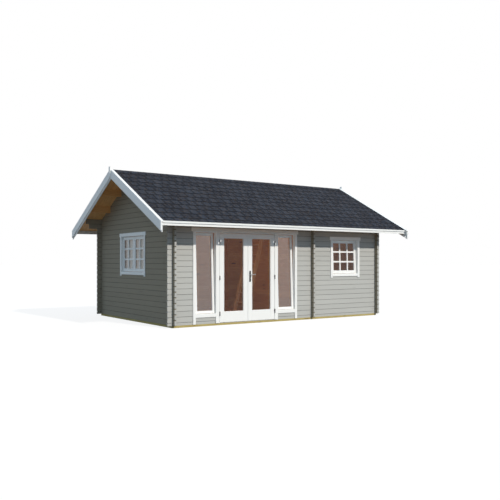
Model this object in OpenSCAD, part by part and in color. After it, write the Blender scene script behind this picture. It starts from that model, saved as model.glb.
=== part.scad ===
// Log cabin with a glazed double door, two sidelights, two windows and a gable roof.
// The front faces -Y, X runs along the front and Z = 0 is the underside of the foundation.

/* [Walls] */
// Length of the front and rear walls, over the outer faces of the gable walls
wall_l = 5740; // [4780:10:6890]
// Depth of the cabin, over the outer faces of the front and rear walls
wall_w = 3790; // [3160:10:4550]
// Height of one log, joint to joint
log_h = 114; // [95:1:136]
// Thickness of a log
log_t = 44; // [37:1:53]
// Depth of the V-shaped groove at each log joint
groove = 5; // [3:0.5:8]
// How far the front and rear logs run past the gable walls
log_end_x = 115; // [80:5:150]
// How far the gable and partition logs run past the front and rear walls
log_end_y = 92; // [70:1:130]
// Depth of the notch at a log joint on the end of the logs
end_notch = 18; // [14:1:22]
// Height of that notch
end_notch_h = 26; // [21:1:32]
// How far the top log of the front and rear walls runs out under the roof
bracket_top = 400; // [330:5:440]
// How far the log below it runs out
bracket_low = 320; // [260:5:380]
// Left face of the partition wall, from the centre of the cabin
partition_x = 753; // [500:1:900]

/* [Foundation and floor] */
// Height of the foundation beams
foundation_h = 45; // [38:1:54]
// Width of the foundation beams under the walls
beam_w = 95; // [80:1:110]
// Width of a floor joist
joist_w = 45; // [38:1:54]
// Thickness of the floor boards
floor_t = 18; // [15:1:22]

/* [Roof] */
// Slope of the roof in degrees
pitch = 27.3; // [23:0.1:31]
// Number of whole logs in the front and rear walls, above the half log they start with
wall_logs = 20; // [19:1:21]
// How far the roof boards come down past the top of the last log, at the outer wall face
plate_cut = 17; // [5:1:40]
// Thickness of the roof boards
roof_board_t = 18; // [15:1:22]
// Thickness of the shingle covering
shingle_t = 8; // [6:0.5:10]
// Overhang of the roof at the eaves, to the face of the fascia
eave_over = 512; // [430:1:560]
// Overhang of the roof boards and purlins at the gables, to the barge board
gable_over = 528; // [470:1:630]
// Width of a purlin
purlin_w = 45; // [38:1:54]
// Height of a purlin
purlin_h = 145; // [120:1:174]
// Distance from the ridge to the face of the upper and the lower purlins
purlin_y = [645, 1305];

/* [White roof edges] */
// Thickness of the barge board and of the lath behind it
barge_t = 20; // [16:1:24]
// Width of the barge board, measured across the slope
barge_h = 145; // [120:1:174]
// How far the lath behind the barge board shows below it
lath_show = 35; // [28:1:42]
// How far the barge boards run past the front and rear walls
barge_over = 570; // [540:1:680]
// Width of the strip that covers the edge of the shingles
cover_w = 66; // [54:1:80]
// Thickness of that strip
cover_t = 12; // [10:1:15]
// Width of the upright board over the joint of the barge boards
apex_w = 74; // [60:1:90]
// Height of that board
apex_h = 225; // [190:1:270]
// Thickness of the fascia board and of the lath on its face
fascia_t = 17; // [14:1:20]
// Height of the fascia board
fascia_h = 94; // [78:1:100]
// Height of the lath on the upper edge of the fascia
fascia_lath_h = 44; // [36:1:53]

/* [Entrance] */
// Centre of the entrance, from the centre of the cabin
entrance_x = -1040; // [-1100:1:-950]
// Width of the door opening between the posts
door_open_w = 1450; // [1210:1:1600]
// Number of whole logs that the entrance replaces, above the half log
entrance_logs = 17; // [16:1:18]
// Height of the head member over the doors and sidelights
head_h = 84; // [70:1:100]
// Width of the posts beside the doors
post_w = 90; // [75:1:108]
// Width of a sidelight opening
sidelight_w = 480; // [400:1:520]
// Depth of the door, sidelight and window frames
frame_d = 70; // [60:1:84]
// Width of the outer jambs and sills of every frame
jamb = 40; // [33:1:48]
// Gap round the doors and between them
door_gap = 6; // [5.5:0.1:8]
// Thickness of the door leaves
leaf_t = 44; // [38:1:50]
// Distance from the wall face to the outer face of the door leaves
leaf_proud = 14; // [10:1:17]
// Width of the stiles of a door leaf
stile_w = 105; // [88:1:126]
// Height of the top rail of a door leaf
top_rail = 95; // [80:1:114]
// Height of the bottom rail of a door leaf
bottom_rail = 217; // [181:1:260]
// Thickness of the door threshold
threshold_t = 7; // [5:0.5:8]

/* [Windows] */
// Width of the rim of a sidelight sash
sash_w = 45; // [38:1:54]
// Thickness of a sash
sash_t = 40; // [34:1:48]
// Gap between a sash and its frame
sash_gap = 5; // [4:0.5:8]
// Angle at which the sidelights and the front window stand open
sash_tilt = 2; // [1:0.1:3]
// Radius of the pivots of a sash
pivot_r = 4; // [3.5:0.1:5]
// How far a pivot reaches into the sash
pivot_l = 12; // [10:1:15]
// Distance of a pivot from the edge of the sash
pivot_edge = 12; // [10:1:14]
// Distance of a pivot from the inner face of the sash
pivot_face = 8; // [7:0.5:10]
// Width of the rim of a window sash
window_sash_w = 60; // [50:1:72]
// Width of the glazing bars
bar_w = 38; // [32:1:45]
// How far the glazing bars lie behind the faces of the sash
bar_recess = 5; // [3:0.5:7]
// Panes side by side in the front window
front_columns = 3; // [2:1:4]
// Panes side by side in a gable sash
gable_columns = 2; // [1:1:3]
// Panes above each other in a window
window_rows = 3; // [2:1:4]
// Centre of the front window, from the centre of the cabin
front_window_x = 1818; // [1500:1:2100]
// Width of the front window between its jambs
front_window_w = 812; // [680:1:970]
// Centre of the gable window, from the centre of the gable
gable_window_y = 20; // [-200:1:300]
// Width of the gable window between its jambs
gable_window_w = 1210; // [1010:1:1450]
// Number of logs that a window opening replaces
window_logs = 8; // [7:1:8]
// Number of logs below the windows
sill_logs = 9; // [9:1:10]
// Height of the head of a window frame
window_head = 60; // [50:1:72]
// Thickness of the glass
glass_t = 6; // [5:0.5:8]
// Depth of the groove that holds the glass
glass_groove = 10; // [8:1:12]

/* [Trim boards] */
// Width of the upright trim boards
trim_w = 63; // [53:1:75]
// Thickness of the trim boards
trim_t = 18; // [15:1:20]
// Height of the head trim
head_trim_h = 80; // [70:1:96]
// How far the head trim runs past the side trims
head_trim_over = 34; // [28:1:40]
// Height of the trim below a window
sill_trim_h = 54; // [45:1:64]
// Height of the trim below a sidelight
sidelight_trim_h = 72; // [60:1:84]

/* [Door hardware] */
// Height of one hinge
hinge_h = 90; // [76:1:108]
// Radius of a hinge knuckle
knuckle_r = 9; // [8.5:0.1:10]
// Radius of a hinge pin
hinge_pin_r = 5; // [4:0.1:6]
// Length of a hinge plate
plate_l = 34; // [28:1:40]
// Height of the door lever above the foundation underside
lever_z = 1062; // [950:1:1150]
// Length of the door lever
lever_l = 118; // [100:1:140]
// Radius of the lever and of its neck
lever_r = 8; // [7:0.5:9.5]
// Distance from the door face to the centre line of the lever
lever_off = 45; // [38:1:54]
// Width of the lock plate
lock_plate_w = 42; // [36:1:50]
// Height of the lock plate
lock_plate_h = 236; // [200:1:283]
// Thickness of the lock plate
lock_plate_t = 4; // [3:0.5:5]

/* [Ladder] */
// Length of the ladder
ladder_l = 2600; // [2200:10:2900]
// Width of the ladder over its rails
ladder_w = 540; // [450:5:650]
// Lean of the ladder in degrees
ladder_lean = 15; // [12.5:0.5:18]
// Nearer edge of the ladder, behind the centre line of the cabin
ladder_y = -260; // [-400:5:0]
// Depth of a ladder rail
ladder_rail_d = 100; // [84:1:120]
// Thickness of a ladder rail
ladder_rail_t = 28; // [23:1:34]
// Radius of a rung
rung_r = 15; // [12:0.5:18]
// Distance between the rungs
rung_step = 250; // [210:5:300]

/* [Hidden] */

GREY = [0.74, 0.74, 0.73];
WHITE = [0.97, 0.97, 0.96];
PINE = [0.72, 0.52, 0.32];
TANALISED = [0.66, 0.6, 0.36];
SHINGLE = [0.26, 0.28, 0.31];
GLASS = [0.55, 0.45, 0.38, 0.5];
STEEL = [0.45, 0.46, 0.48];
BLACK = [0.08, 0.08, 0.08];

// Clearance of a piece that is set down on or beside its seat without a fixed joint
seat_gap = 0.3;
// Radial clearance between a pin or a spindle and its bore
pin_gap = 0.08;
// Clearance past the end of a pin, and between two turning faces
end_gap = 1;
// Longer than anything it has to cut through
reach = 20000;

half_l = wall_l / 2;
half_w = wall_w / 2;
slope = tan(pitch);
// Turns a thickness across the slope into a height
rise = 1 / cos(pitch);
// The front and rear walls start with a half log and the crossing walls with a whole one
long_first = log_h / 2;
cross_first = log_h;
// Underside of the roof boards at the outer face of the front wall, and at the ridge
plate_z = foundation_h + long_first + wall_logs * log_h - plate_cut;
under_ridge = plate_z + half_w * slope;
roof_t = roof_board_t + shingle_t;
ridge_z = under_ridge + roof_t * rise;
floor_z = foundation_h + floor_t;
courses = ceil((ridge_z - foundation_h) / log_h);

long_joints = [for (k = [0 : courses]) foundation_h + long_first + k * log_h];
cross_joints = [for (k = [-1 : courses]) foundation_h + cross_first + k * log_h];
crossings_x = [-half_l, half_l - log_t, partition_x];

// Lowest course of a long wall that shows under the roof as the upper bracket
top_joint = max([for (z = long_joints) z < plate_z ? z : 0]);

// The openings end at log joints
front_sill_z = foundation_h + long_first + (sill_logs - 1) * log_h;
gable_sill_z = foundation_h + sill_logs * log_h;
window_h = window_logs * log_h;
entrance_sill_z = foundation_h + long_first + log_h;
entrance_top_z = foundation_h + long_first + entrance_logs * log_h;
// The logs settle as they dry, so each frame stops short of the log above it
settle = 10;
window_frame_h = window_h - settle;

door_head_z = entrance_top_z - settle - head_h;
post_x = door_open_w / 2;
light_x = post_x + post_w;
jamb_x = light_x + sidelight_w;
unit_x = jamb_x + jamb;
front_y = -half_w;

leaf_w = (door_open_w - 3 * door_gap) / 2;
leaf_z = foundation_h + threshold_t + door_gap;
leaf_h = door_head_z - door_gap - leaf_z;
leaf_y = front_y - leaf_proud;
hinge_x = post_x - door_gap / 2;
hinge_y = front_y - trim_t - knuckle_r - end_gap;
hinge_plate_t = 3;
hinge_end = 140;
// Thickness of the closed end of the upper knuckle, above the pin
hinge_cap = 10;
hinge_z = [
  for (k = [0 : 2]) leaf_z + hinge_end + k * (leaf_h - 2 * hinge_end - hinge_h) / 2
];
spindle_x = entrance_x + door_gap / 2 + stile_w / 2;
spindle_r = 5;

// Share of the lock plate that is below the lever
lock_plate_below = 0.67;

// How far a trim board stands clear of the opening beside it, above it or below it
side_reveal = 4;
head_reveal = 19;
sidelight_trim_drop = 34;
window_trim_drop = 30;

// The sashes stand at the inner side of their frames
sash_y = front_y + frame_d - sash_t;
sidelight_sash_w = sidelight_w - 2 * sash_gap;
sidelight_sash_h = door_head_z - entrance_sill_z - jamb - 2 * sash_gap;
front_sash_w = front_window_w - 2 * sash_gap;
gable_sash_w = (gable_window_w - 3 * sash_gap) / 2;
window_sash_h = window_frame_h - jamb - window_head - 2 * sash_gap;

partition_door_y = 900;
partition_door_w = 800;
partition_door_z = foundation_h + entrance_logs * log_h;

joist_step = 600;
joist_bays = ceil((wall_l - 2 * beam_w) / joist_step);

purlin_l = wall_l + 2 * (gable_over - barge_t);
roof_l = wall_l + 2 * gable_over;
fascia_y = half_w + eave_over;
board_far = fascia_y - 2 * fascia_t;
apex_t = 18;
// How far an apex board stands above the cover strips
apex_rise = 50;

ladder_rungs_n = floor((ladder_l - rung_step / 2) / rung_step);

// Places a drawing of the Y-Z plane in a slice of the given length along X
module along_x(length) {
  rotate([90, 0, 90])
    linear_extrude(height = length, center = true)
      children();
}

// Places a drawing of the X-Z plane in a slice of the given depth along Y
module along_y(length) {
  rotate([90, 0, 0])
    linear_extrude(height = length, center = true)
      children();
}

// A box given by its lowest and highest corners
module box(low, high) {
  translate(low)
    cube(high - low);
}

// A rectangle given by its lowest and highest corners
module area(low, high) {
  translate(low)
    square(high - low);
}

function under_roof_z(y) = under_ridge - abs(y) * slope;

// Lays a drawing along one slope: y = 0 is the underside of the roof boards and x = 0 lies
// under the ridge; side is -1 or 1
module on_slope(side) {
  mirror([side < 0 ? 1 : 0, 0])
    translate([0, under_ridge])
      rotate(-pitch)
        children();
}

// Everything below both slopes, up to the given height across them
module below_slopes(high) {
  intersection() {
    on_slope(-1)
      area([-reach, -reach], [reach, high]);
    on_slope(1)
      area([-reach, -reach], [reach, high]);
  }
}

// A layer of one slope, from the ridge to the given distance, between two heights across it
module slope_layer(side, far, low, high) {
  intersection() {
    on_slope(side)
      area([-reach, low], [reach, high]);
    mirror([side < 0 ? 1 : 0, 0])
      area([0, -reach], [far, reach]);
  }
}

// Cross-section of a stack of logs, with a groove at each joint on both faces
module log_section(joints) {
  top = joints[len(joints) - 1] + log_h / 2;
  used = [for (z = joints) if (z > foundation_h + groove) z];
  last = len(used) - 1;
  polygon(concat(
    [[0, foundation_h]],
    [for (k = [0 : last]) each [[0, used[k] - groove], [groove, used[k]], [0, used[k] + groove]]],
    [[0, top], [log_t, top]],
    [
      for (k = [last : -1 : 0])
        each [[log_t, used[k] + groove], [log_t - groove, used[k]], [log_t, used[k] - groove]]
    ],
    [[log_t, foundation_h]]
  ));
}

// Slots that let the crossing logs through, a half log high at each joint
module crossing_slots(at, joints) {
  for (z = joints)
    area([at, z - log_h / 4], [at + log_t, z + log_h / 4]);
}

// Small notches at the joints on the ends of the logs; side is -1 or 1
module end_notches(at, side, joints) {
  for (z = joints)
    polygon([[at, z - end_notch_h / 2], [at - side * end_notch, z], [at, z + end_notch_h / 2]]);
}

// Outline of a front or rear wall, seen from the front
module long_wall_outline() {
  log_x = half_l + log_end_x;
  difference() {
    union() {
      area([-log_x, foundation_h], [log_x, ridge_z]);
      area([-half_l - bracket_low, top_joint - log_h], [half_l + bracket_low, ridge_z]);
      area([-half_l - bracket_top, top_joint], [half_l + bracket_top, ridge_z]);
    }
    for (x = crossings_x)
      crossing_slots(x, long_joints);
    for (side = [-1, 1])
      end_notches(side * log_x, side, [for (z = long_joints) if (z < top_joint - log_h) z]);
  }
}

// A front or rear wall whose outer part starts at y; the child is its outline
module long_wall(y) {
  intersection() {
    along_x(wall_l + 2 * bracket_top)
      intersection() {
        translate([y, 0])
          log_section(long_joints);
        below_slopes(0);
      }
    translate([0, y + log_t / 2, 0])
      along_y(2 * log_t)
        children();
  }
}

// Outline of a gable wall or the partition, seen from the side
module cross_wall_outline() {
  log_y = half_w + log_end_y;
  difference() {
    intersection() {
      area([-log_y, foundation_h], [log_y, ridge_z]);
      below_slopes(0);
    }
    crossing_slots(-half_w, cross_joints);
    crossing_slots(half_w - log_t, cross_joints);
    for (side = [-1, 1])
      end_notches(side * log_y, side, cross_joints);
    ridge_purlin_space();
    side_purlin_spaces();
  }
}

// A wall across the cabin whose left face is at x; the child is its outline
module cross_wall(x) {
  intersection() {
    along_y(wall_w + 2 * log_end_y)
      translate([x, 0])
        log_section(cross_joints);
    translate([x + log_t / 2, 0, 0])
      along_x(2 * log_t)
        children();
  }
}

// The space of one purlin, carried up past the roof boards
module purlin_space(low, high) {
  mid = (low + high) / 2;
  area([low, under_roof_z(mid) - purlin_h], [high, ridge_z]);
}

module ridge_purlin_space() {
  purlin_space(-purlin_w / 2, purlin_w / 2);
}

module side_purlin_spaces() {
  for (y = purlin_y) {
    purlin_space(y, y + purlin_w);
    purlin_space(-y - purlin_w, -y);
  }
}

// Foundation and floor

module foundation_long_beams() {
  color(TANALISED)
    for (side = [-1, 1])
      translate([0, side * (half_w - beam_w / 2), foundation_h / 2])
        cube([wall_l, beam_w, foundation_h], center = true);
}

module foundation_cross_beam(x, w) {
  inner = half_w - beam_w;
  box([x - w / 2, -inner, 0], [x + w / 2, inner, foundation_h]);
}

module foundation_cross_beams() {
  step = (wall_l - beam_w) / joist_bays;
  partition_mid = partition_x + log_t / 2;
  color(TANALISED) {
    for (side = [-1, 1])
      foundation_cross_beam(side * (half_l - beam_w / 2), beam_w);
    foundation_cross_beam(partition_mid, beam_w);
    for (k = [1 : joist_bays - 1]) {
      x = -half_l + beam_w / 2 + k * step;
      if (abs(x - partition_mid) > beam_w)
        foundation_cross_beam(x, joist_w);
    }
  }
}

module floor_field(x0, x1) {
  y = half_w - log_t;
  box([x0, -y, foundation_h], [x1, y, floor_z]);
}

module floor() {
  color(PINE)
    difference() {
      union() {
        floor_field(-half_l + log_t, partition_x);
        floor_field(partition_x + log_t, half_l - log_t);
      }
      door_post_blocks();
    }
}

// Log walls

module entrance_side_outline(side) {
  intersection() {
    long_wall_outline();
    if (side < 0)
      area([-reach, 0], [entrance_x - unit_x, reach]);
    else
      area([entrance_x + unit_x, 0], [reach, reach]);
  }
}

module front_window_hole() {
  half = front_window_w / 2 + jamb;
  area(
    [front_window_x - half, front_sill_z],
    [front_window_x + half, front_sill_z + window_h]
  );
}

module gable_window_hole() {
  half = gable_window_w / 2 + jamb;
  area(
    [gable_window_y - half, gable_sill_z],
    [gable_window_y + half, gable_sill_z + window_h]
  );
}

module front_wall_left() {
  color(GREY)
    long_wall(front_y)
      entrance_side_outline(-1);
}

module front_wall_right() {
  color(GREY)
    long_wall(front_y)
      difference() {
        entrance_side_outline(1);
        front_window_hole();
      }
}

module front_wall_header() {
  color(GREY)
    long_wall(front_y)
      area([entrance_x - unit_x, entrance_top_z], [entrance_x + unit_x, ridge_z]);
}

module sidelight_sill_logs() {
  color(GREY)
    for (side = [-1, 1])
      long_wall(front_y)
        translate([entrance_x, 0])
          mirror([side < 0 ? 1 : 0, 0])
            area([light_x, foundation_h], [unit_x, entrance_sill_z]);
}

module rear_wall() {
  color(GREY)
    long_wall(half_w - log_t)
      long_wall_outline();
}

module gable_wall_left() {
  color(GREY)
    cross_wall(-half_l)
      difference() {
        cross_wall_outline();
        gable_window_hole();
      }
}

module gable_wall_right() {
  color(GREY)
    cross_wall(half_l - log_t)
      cross_wall_outline();
}

module partition_part(low, high) {
  color(GREY)
    cross_wall(partition_x)
      intersection() {
        cross_wall_outline();
        area(low, high);
      }
}

module partition_front() {
  partition_part([-reach, 0], [partition_door_y, reach]);
}

module partition_rear() {
  partition_part([partition_door_y + partition_door_w, 0], [reach, reach]);
}

module partition_header() {
  partition_part(
    [partition_door_y, partition_door_z],
    [partition_door_y + partition_door_w, reach]
  );
}

// Roof

module ridge_purlin() {
  color(PINE)
    along_x(purlin_l)
      intersection() {
        ridge_purlin_space();
        below_slopes(0);
      }
}

module side_purlins() {
  color(PINE)
    along_x(purlin_l)
      intersection() {
        side_purlin_spaces();
        below_slopes(0);
      }
}

module roof_boards(side) {
  color(PINE)
    along_x(roof_l)
      slope_layer(side, board_far, 0, roof_board_t);
}

module roof_boards_front() {
  roof_boards(-1);
}

module roof_boards_rear() {
  roof_boards(1);
}

module shingles(side) {
  color(SHINGLE)
    along_x(roof_l)
      slope_layer(side, fascia_y, roof_board_t, roof_t);
}

module shingles_front() {
  shingles(-1);
}

module shingles_rear() {
  shingles(1);
}

// The fascia board with a lath along its upper edge, between the barge boards
module fascia(side) {
  board_face = fascia_y - fascia_t;
  top = under_ridge + roof_board_t * rise - board_face * slope;
  color(WHITE)
    along_x(roof_l)
      mirror([side < 0 ? 1 : 0, 0])
        intersection() {
          union() {
            area([board_far, top - fascia_h], [board_face, reach]);
            area([board_face, top - fascia_lath_h], [fascia_y, reach]);
          }
          below_slopes(roof_board_t);
        }
}

module fascia_front() {
  fascia(-1);
}

module fascia_rear() {
  fascia(1);
}

// One barge board with its cover strip and the lath behind it; end and side are -1 or 1
module barge(end, side) {
  far = half_w + barge_over;
  inner = half_l + gable_over;
  main_low = roof_t - barge_h;
  color(WHITE)
    mirror([end < 0 ? 1 : 0, 0, 0]) {
      translate([inner + barge_t / 2, 0, 0])
        along_x(barge_t)
          slope_layer(side, far, main_low, roof_t);
      translate([inner - barge_t / 2, 0, 0])
        along_x(barge_t)
          difference() {
            slope_layer(side, far, main_low - lath_show, 0);
            mirror([side < 0 ? 1 : 0, 0])
              area([board_far, 0], [fascia_y, ridge_z]);
          }
      translate([inner + barge_t - cover_w / 2, 0, 0])
        along_x(cover_w)
          slope_layer(side, far, roof_t, roof_t + cover_t);
    }
}

module barge_left_front() {
  barge(-1, -1);
}

module barge_left_rear() {
  barge(-1, 1);
}

module barge_right_front() {
  barge(1, -1);
}

module barge_right_rear() {
  barge(1, 1);
}

module apex_boards() {
  apex_top = ridge_z + cover_t * rise + apex_rise;
  x = half_l + gable_over + barge_t;
  color(WHITE)
    for (end = [-1, 1])
      translate([end * (x + apex_t / 2), 0, apex_top - apex_h / 2])
        cube([apex_t, apex_w, apex_h], center = true);
}

// Entrance

module entrance_head() {
  color(WHITE)
    box(
      [entrance_x - unit_x, front_y, door_head_z],
      [entrance_x + unit_x, front_y + frame_d, entrance_top_z - settle]
    );
}

// The two upright posts, drawn for the entrance centred on x = 0
module door_post_blocks() {
  translate([entrance_x, 0, 0])
    for (side = [-1, 1])
      mirror([side < 0 ? 1 : 0, 0, 0])
        box([post_x, front_y, foundation_h], [light_x, front_y + frame_d, door_head_z]);
}

module door_posts() {
  color(WHITE)
    door_post_blocks();
}

module door_threshold() {
  color(STEEL)
    box(
      [entrance_x - post_x, front_y, foundation_h],
      [entrance_x + post_x, front_y + log_t, foundation_h + threshold_t]
    );
}

// The outer jamb and the sill of each sidelight
module sidelight_frames() {
  sill_top = entrance_sill_z + jamb;
  color(WHITE)
    translate([entrance_x, 0, 0])
      for (side = [-1, 1])
        mirror([side < 0 ? 1 : 0, 0, 0]) {
          box([light_x, front_y, entrance_sill_z], [unit_x, front_y + frame_d, sill_top]);
          box([jamb_x, front_y, sill_top], [unit_x, front_y + frame_d, door_head_z]);
        }
}

// The two pivots of a tilting sash: r is their radius, deep how far they reach into the sash
// and out how far they reach past its edges
module tilt_pivots(w, r, deep, out) {
  for (side = [-1, 1])
    translate([side * (w + out - deep) / 2, sash_t - pivot_face, pivot_edge])
      rotate([0, 90, 0])
        cylinder(r = r, h = deep + out, center = true, $fn = 32);
}

// The two pivots of a sash that swings about its side; hinge is -1 or 1
module swing_pivots(w, h, hinge, r, deep, out) {
  for (z = [(deep - out) / 2, h - (deep - out) / 2])
    translate([hinge * (w / 2 - pivot_edge), sash_t - pivot_face, z])
      cylinder(r = r, h = deep + out, center = true, $fn = 32);
}

// A sash of the given size, standing on z = 0 with its outer face at y = 0; rim is the width of
// its rim and the children are its bores
module sash(w, h, rim, columns, rows) {
  difference() {
    union() {
      difference() {
        translate([-w / 2, 0, 0])
          cube([w, sash_t, h]);
        box([rim - w / 2, -1, rim], [w / 2 - rim, sash_t + 1, h - rim]);
      }
      glazing_bars(w - 2 * rim, h - 2 * rim, rim, columns, rows);
    }
    pane(w, h, rim);
    children();
  }
}

// The bars that divide a clear opening of that size, which starts at the height z
module glazing_bars(w, h, z, columns, rows) {
  column_step = (w + bar_w) / columns;
  row_step = (h + bar_w) / rows;
  inner = sash_t - bar_recess;
  for (k = [1 : 1 : columns - 1]) {
    x = k * column_step - w / 2;
    box([x - bar_w, bar_recess, z - 1], [x, inner, z + h + 1]);
  }
  for (k = [1 : 1 : rows - 1]) {
    top = z + k * row_step;
    box([-w / 2 - 1, bar_recess, top - bar_w], [w / 2 + 1, inner, top]);
  }
}

module tilt_sash(w, h, rim, columns, rows) {
  sash(w, h, rim, columns, rows)
    tilt_pivots(w, pivot_r + pin_gap, pivot_l + end_gap, end_gap);
}

module swing_sash(w, h, hinge, rim, columns, rows) {
  sash(w, h, rim, columns, rows)
    swing_pivots(w, h, hinge, pivot_r + pin_gap, pivot_l + end_gap, end_gap);
}

// The glass of that sash, held in a groove all round
module pane(w, h, rim) {
  edge = rim - glass_groove;
  mid = sash_t / 2;
  box([edge - w / 2, mid - glass_t / 2, edge], [w / 2 - edge, mid + glass_t / 2, h - edge]);
}

// Tilts a sash inwards about its pivots
module tilted(angle) {
  translate([0, sash_t - pivot_face, pivot_edge])
    rotate([-angle, 0, 0])
      translate([0, pivot_face - sash_t, -pivot_edge])
        children();
}

module place_sidelight(side) {
  translate([
    entrance_x + side * (light_x + sidelight_w / 2),
    sash_y,
    entrance_sill_z + jamb + sash_gap,
  ])
    children();
}

module place_front_sash() {
  translate([front_window_x, sash_y, front_sill_z + jamb + sash_gap])
    children();
}

// The gable sashes stand side by side, with their outer faces towards -X
module place_gable_sash(side) {
  translate([
    -half_l + frame_d - sash_t,
    gable_window_y + side * (gable_sash_w + sash_gap) / 2,
    gable_sill_z + jamb + sash_gap,
  ])
    rotate([0, 0, -90])
      children();
}

module sidelight_sash(side) {
  color(WHITE)
    place_sidelight(side)
      tilted(sash_tilt)
        tilt_sash(sidelight_sash_w, sidelight_sash_h, sash_w, 1, 1);
}

module sidelight_glass(side) {
  color(GLASS)
    place_sidelight(side)
      tilted(sash_tilt)
        pane(sidelight_sash_w, sidelight_sash_h, sash_w);
}

module left_sidelight_sash() {
  sidelight_sash(-1);
}

module left_sidelight_glass() {
  sidelight_glass(-1);
}

module right_sidelight_sash() {
  sidelight_sash(1);
}

module right_sidelight_glass() {
  sidelight_glass(1);
}

// White boards round the doors and sidelights, on the face of the logs
module entrance_trim() {
  outer = jamb_x + side_reveal + trim_w;
  head_low = door_head_z + head_reveal;
  sill_low = entrance_sill_z - sidelight_trim_drop;
  color(WHITE)
    translate([entrance_x, front_y - trim_t / 2, 0])
      along_y(trim_t)
        union() {
          area([-outer - head_trim_over, head_low], [outer + head_trim_over, head_low + head_trim_h]);
          for (side = [-1, 1])
            mirror([side < 0 ? 1 : 0, 0]) {
              area([outer - trim_w, foundation_h], [outer, head_low]);
              area([post_x, foundation_h], [light_x, head_low]);
              area([light_x, sill_low], [outer - trim_w, sill_low + sidelight_trim_h]);
            }
        }
}

// Doors

// A door leaf centred on x = 0, without its place in the entrance
module door_leaf() {
  difference() {
    box([-leaf_w / 2, leaf_y, leaf_z], [leaf_w / 2, leaf_y + leaf_t, leaf_z + leaf_h]);
    box(
      [stile_w - leaf_w / 2, leaf_y - 1, leaf_z + bottom_rail],
      [leaf_w / 2 - stile_w, leaf_y + leaf_t + 1, leaf_z + leaf_h - top_rail]
    );
    door_pane();
  }
}

module door_pane() {
  mid = leaf_y + leaf_t / 2;
  x = leaf_w / 2 - stile_w + glass_groove;
  box(
    [-x, mid - glass_t / 2, leaf_z + bottom_rail - glass_groove],
    [x, mid + glass_t / 2, leaf_z + leaf_h - top_rail + glass_groove]
  );
}

module place_leaf(side) {
  translate([entrance_x + side * (leaf_w + door_gap) / 2, 0, 0])
    children();
}

module left_door() {
  color(WHITE)
    place_leaf(-1)
      door_leaf();
}

module left_door_glass() {
  color(GLASS)
    place_leaf(-1)
      door_pane();
}

module spindle_cut(r, y0, y1) {
  translate([spindle_x, y0, lever_z])
    rotate([-90, 0, 0])
      cylinder(r = r, h = y1 - y0, $fn = 48);
}

module right_door() {
  color(WHITE)
    difference() {
      place_leaf(1)
        door_leaf();
      spindle_cut(spindle_r + pin_gap, leaf_y - end_gap, leaf_y + leaf_t + end_gap);
    }
}

module right_door_glass() {
  color(GLASS)
    place_leaf(1)
      door_pane();
}

// Hinges: the lower knuckle with its pin is fixed to the frame, the upper one to the leaf

module knuckle(z, h) {
  translate([hinge_x, hinge_y, z])
    cylinder(r = knuckle_r, h = h, $fn = 48);
}

module frame_hinge(z) {
  h = hinge_h / 2 - seat_gap;
  knuckle(z, h);
  translate([hinge_x, hinge_y, z])
    cylinder(r = hinge_pin_r, h = hinge_h - hinge_cap, $fn = 48);
  box([post_x, hinge_y, z], [hinge_x + knuckle_r, front_y - trim_t, z + h]);
  box(
    [post_x, front_y - trim_t - hinge_plate_t, z],
    [post_x + plate_l, front_y - trim_t, z + h]
  );
}

module leaf_hinge(z) {
  low = z + hinge_h / 2;
  leaf_edge = post_x - door_gap;
  difference() {
    union() {
      knuckle(low, hinge_h / 2);
      box([hinge_x - knuckle_r, hinge_y, low], [leaf_edge, leaf_y, z + hinge_h]);
      box([leaf_edge - plate_l, leaf_y - hinge_plate_t, low], [leaf_edge, leaf_y, z + hinge_h]);
    }
    translate([hinge_x, hinge_y, low - end_gap])
      cylinder(r = hinge_pin_r + pin_gap, h = hinge_h / 2 - hinge_cap + 2 * end_gap, $fn = 48);
  }
}

module hinge_side(side) {
  translate([entrance_x, 0, 0])
    mirror([side < 0 ? 1 : 0, 0, 0])
      children();
}

module frame_hinges() {
  color(STEEL)
    for (side = [-1, 1])
      hinge_side(side)
        for (z = hinge_z)
          frame_hinge(z);
}

module left_door_hinges() {
  color(STEEL)
    hinge_side(-1)
      for (z = hinge_z)
        leaf_hinge(z);
}

module right_door_hinges() {
  color(STEEL)
    hinge_side(1)
      for (z = hinge_z)
        leaf_hinge(z);
}

// Lock plates on both faces of the right door, with a bore for the spindle
module lock_plates() {
  low = lever_z - lock_plate_below * lock_plate_h;
  color(BLACK)
    difference() {
      for (y = [leaf_y - lock_plate_t, leaf_y + leaf_t])
        box(
          [spindle_x - lock_plate_w / 2, y, low],
          [spindle_x + lock_plate_w / 2, y + lock_plate_t, low + lock_plate_h]
        );
      spindle_cut(
        spindle_r + pin_gap,
        leaf_y - lock_plate_t - end_gap,
        leaf_y + leaf_t + lock_plate_t + end_gap
      );
    }
}

// A lever on each face, joined by the spindle
module door_lever() {
  faces = [leaf_y - lever_off, leaf_y + leaf_t + lever_off];
  neck_clear = lock_plate_t + end_gap;
  color(STEEL) {
    spindle_cut(spindle_r, faces[0], faces[1]);
    spindle_cut(lever_r, faces[0], leaf_y - neck_clear);
    spindle_cut(lever_r, leaf_y + leaf_t + neck_clear, faces[1]);
    for (y = faces)
      translate([spindle_x, y, lever_z]) {
        sphere(r = lever_r, $fn = 32);
        rotate([0, 90, 0])
          cylinder(r = lever_r, h = lever_l, $fn = 32);
        translate([lever_l, 0, 0])
          sphere(r = lever_r, $fn = 32);
      }
  }
}

// Windows

// A frame centred on x = 0 and standing on z = 0, with its outer face at y = 0
module window_frame(w) {
  half = w / 2 + jamb;
  difference() {
    box([-half, 0, 0], [half, frame_d, window_frame_h]);
    box([-w / 2, -1, jamb], [w / 2, frame_d + 1, window_frame_h - window_head]);
  }
}

module place_front_window() {
  translate([front_window_x, front_y, front_sill_z])
    children();
}

module place_gable_window() {
  translate([-half_l, gable_window_y, gable_sill_z])
    rotate([0, 0, -90])
      children();
}

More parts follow.
